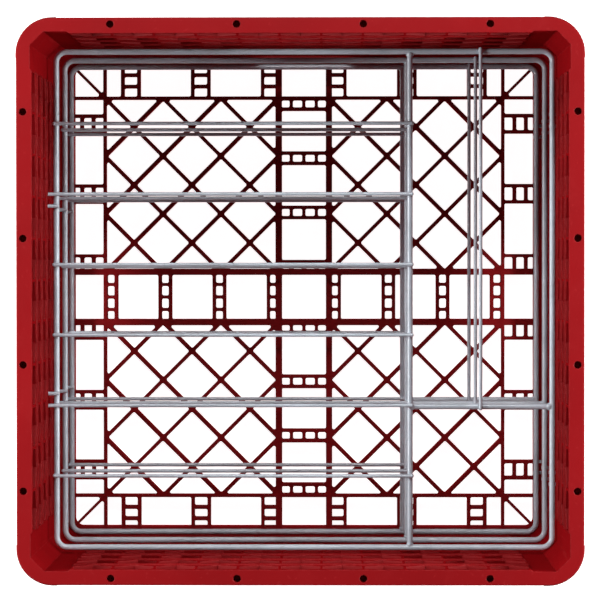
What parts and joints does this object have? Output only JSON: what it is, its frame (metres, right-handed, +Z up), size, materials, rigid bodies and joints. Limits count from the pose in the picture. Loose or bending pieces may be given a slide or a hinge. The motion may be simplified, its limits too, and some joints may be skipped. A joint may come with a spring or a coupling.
{
  "type": "dishwashing plate rack",
  "caption": "Square red closed-wall washing and transport rack: lattice base, stacked extender frames and levels of coated wire dividers for plates on edge.",
  "frame": {"origin": "centre of the rack's underside", "axes": "+Z up; +X across the wall towards the corner pocket's side, +Y towards the side slots' end"},
  "size_m": [0.5016, 0.5016, 0.3492],
  "materials": {
    "red_plastic": "satin moulded polypropylene",
    "grey_coated_wire": "satin grey dip coating on steel wire"
  },
  "bodies": {
    "root": {"base_rack": "red_plastic", "extender_1": "red_plastic", "extender_2": "red_plastic", "extender_3": "red_plastic", "extender_4": "red_plastic", "extender_5": "red_plastic", "extender_6": "red_plastic", "lower_ring_runs": "grey_coated_wire", "lower_ring_bends": "grey_coated_wire", "lower_trunk_wire": "grey_coated_wire", "lower_crossing_wire": "grey_coated_wire", "lower_divider_wire": "grey_coated_wire", "lower_row_wire_1": "grey_coated_wire", "lower_row_wire_2": "grey_coated_wire", "lower_row_wire_3": "grey_coated_wire", "lower_row_wire_4": "grey_coated_wire", "lower_row_wire_5": "grey_coated_wire", "lower_row_wire_6": "grey_coated_wire", "lower_hook_stubs": "grey_coated_wire", "middle_ring_runs": "grey_coated_wire", "middle_ring_bends": "grey_coated_wire", "middle_trunk_wire": "grey_coated_wire", "middle_crossing_wire": "grey_coated_wire", "middle_divider_wire": "grey_coated_wire", "middle_row_wire_1": "grey_coated_wire", "middle_row_wire_2": "grey_coated_wire", "middle_row_wire_3": "grey_coated_wire", "middle_row_wire_4": "grey_coated_wire", "middle_row_wire_5": "grey_coated_wire", "middle_row_wire_6": "grey_coated_wire", "middle_hook_stubs": "grey_coated_wire", "top_ring_runs": "grey_coated_wire", "top_ring_bends": "grey_coated_wire", "top_trunk_wire": "grey_coated_wire", "top_crossing_wire": "grey_coated_wire", "top_divider_wire": "grey_coated_wire", "top_row_wire_1": "grey_coated_wire", "top_row_wire_2": "grey_coated_wire", "top_row_wire_3": "grey_coated_wire", "top_row_wire_4": "grey_coated_wire", "top_row_wire_5": "grey_coated_wire", "top_row_wire_6": "grey_coated_wire", "top_hook_stubs": "grey_coated_wire"}
  },
  "joints": []
}
